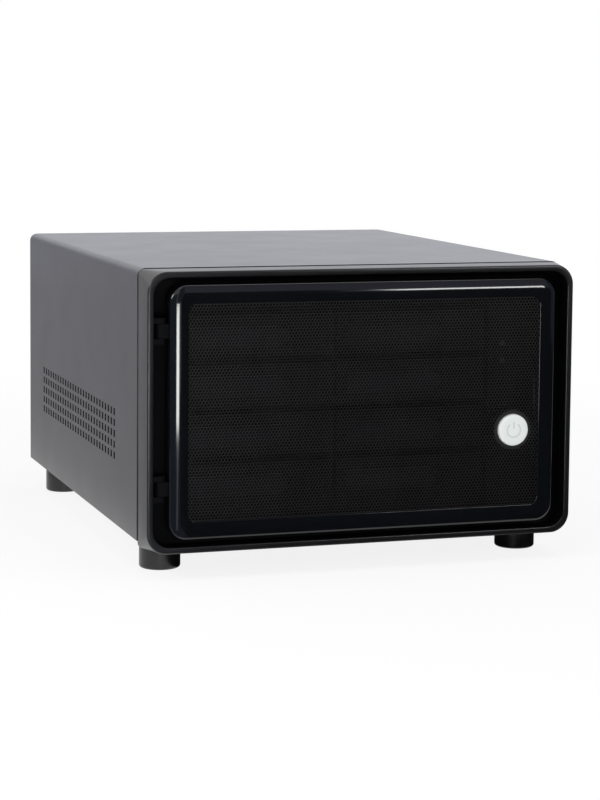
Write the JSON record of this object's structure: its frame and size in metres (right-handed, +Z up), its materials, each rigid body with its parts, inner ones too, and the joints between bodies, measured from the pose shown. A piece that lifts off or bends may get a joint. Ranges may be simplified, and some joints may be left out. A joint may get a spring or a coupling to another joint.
{
  "type": "tower pc case",
  "caption": "Compact desktop computer case with a recessed mesh front door, drive trays behind it, a folded steel cover and round feet.",
  "frame": {"origin": "on the floor under the feet, at the middle of the case's outline", "axes": "+Z up, +Y from the front door towards the rear panel, +X to the right seen from the front"},
  "size_m": [0.3, 0.388, 0.2025],
  "materials": {
    "satin_black_steel": "fine textured satin black powder paint",
    "zinc_steel": "galvanised sheet steel",
    "gloss_black_plastic": "piano black moulded plastic",
    "satin_black_plastic": "satin black moulded plastic",
    "black_plastic": "plain black moulded plastic",
    "lever_plastic": "dark slate moulded plastic",
    "button_white": "white moulded plastic with a satin gloss",
    "foot_plastic": "dark satin plastic",
    "bright_steel": "polished steel pin",
    "blackened_steel": "black oxide steel",
    "ferrite": "bonded magnet",
    "circuit_board": "green solder mask",
    "light_guide": "clear blue light guide",
    "brass": "turned brass"
  },
  "bodies": {
    "case": {"chassis_pan": "zinc_steel", "rear_panel": "zinc_steel", "front_frame": "zinc_steel", "top_cover": "satin_black_steel", "cover_thumbscrews": "blackened_steel", "front_bezel": "satin_black_plastic", "foot_front_left": "foot_plastic", "foot_front_right": "foot_plastic", "foot_rear_left": "foot_plastic", "foot_rear_right": "foot_plastic", "upper_hinge_pin": "bright_steel", "lower_hinge_pin": "bright_steel", "catch_magnet": "ferrite", "control_strip": "black_plastic", "switch_board": "circuit_board", "power_switch": "black_plastic", "status_lights": "light_guide", "drive_cage": "zinc_steel", "tray_ledges": "zinc_steel", "backplane_board": "circuit_board", "drive_sockets": "black_plastic", "fan_frame": "black_plastic", "slot_cover": "zinc_steel", "board_standoffs": "brass", "drive_tray_1": "black_plastic", "drive_tray_2": "black_plastic", "drive_tray_3": "black_plastic", "drive_tray_4": "black_plastic", "drive_tray_5": "black_plastic", "drive_tray_6": "black_plastic", "drive_tray_7": "black_plastic", "drive_tray_8": "black_plastic", "tray_lever_1": "lever_plastic", "tray_lever_2": "lever_plastic", "tray_lever_3": "lever_plastic", "tray_lever_4": "lever_plastic", "tray_lever_5": "lever_plastic", "tray_lever_6": "lever_plastic", "tray_lever_7": "lever_plastic", "tray_lever_8": "lever_plastic"},
    "door": {"door_frame": "gloss_black_plastic", "door_mesh": "satin_black_steel", "mesh_retainer": "black_plastic", "button_sleeve": "black_plastic", "button_retainer": "black_plastic", "catch_plate": "zinc_steel"},
    "power_button": {"power_button": "button_white"},
    "fan_rotor": {"fan_rotor": "black_plastic"}
  },
  "joints": [
    {"name": "door_hinge", "type": "hinge", "parent": "case", "child": "door", "pos_m": [-0.14, -0.1845, 0.112], "axis": [0, 0, -1], "range_deg": [0, 100]},
    {"name": "power_button_press", "type": "slide", "parent": "door", "child": "power_button", "axis": [0, 1, 0], "range_m": [0, 0.0015], "stiffness_N_per_m": 300},
    {"name": "fan_spin", "type": "hinge", "parent": "case", "child": "fan_rotor", "pos_m": [-0.096, 0.1725, 0.1505], "axis": [0, 1, 0], "continuous": true}
  ]
}
